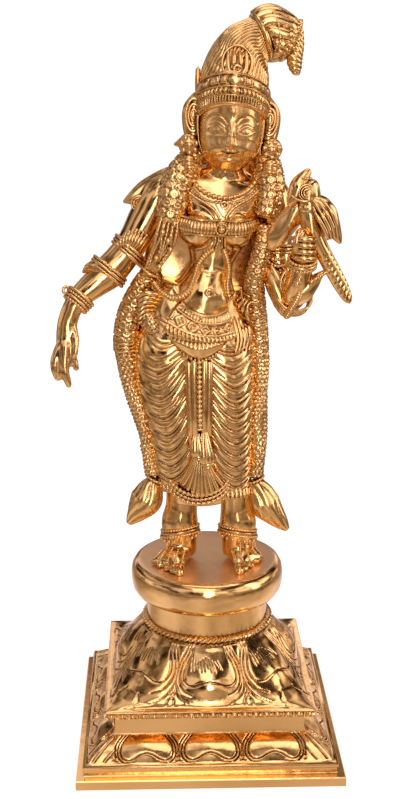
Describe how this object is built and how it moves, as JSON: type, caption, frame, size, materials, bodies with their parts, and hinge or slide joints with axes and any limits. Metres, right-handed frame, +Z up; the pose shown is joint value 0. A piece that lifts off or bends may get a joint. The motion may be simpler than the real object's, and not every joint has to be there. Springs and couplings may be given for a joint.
{
  "type": "andal figure",
  "caption": "Cast bronze standing goddess figure with a parrot on her raised left hand, on a round pad and a square lotus plinth.",
  "frame": {"origin": "middle of the plinth's flat underside", "axes": "+Z up, the figure looks along -Y, +X on her left"},
  "size_m": [0.1797, 0.165, 0.4583],
  "materials": {
    "figure": "polished golden bronze, mirror bright on the plain surfaces and darker in the chased grooves",
    "plinth": "polished golden bronze, mirror bright on the plain surfaces and darker in the chased grooves"
  },
  "bodies": {
    "root": {"figure": "figure", "plinth": "plinth"}
  },
  "joints": []
}
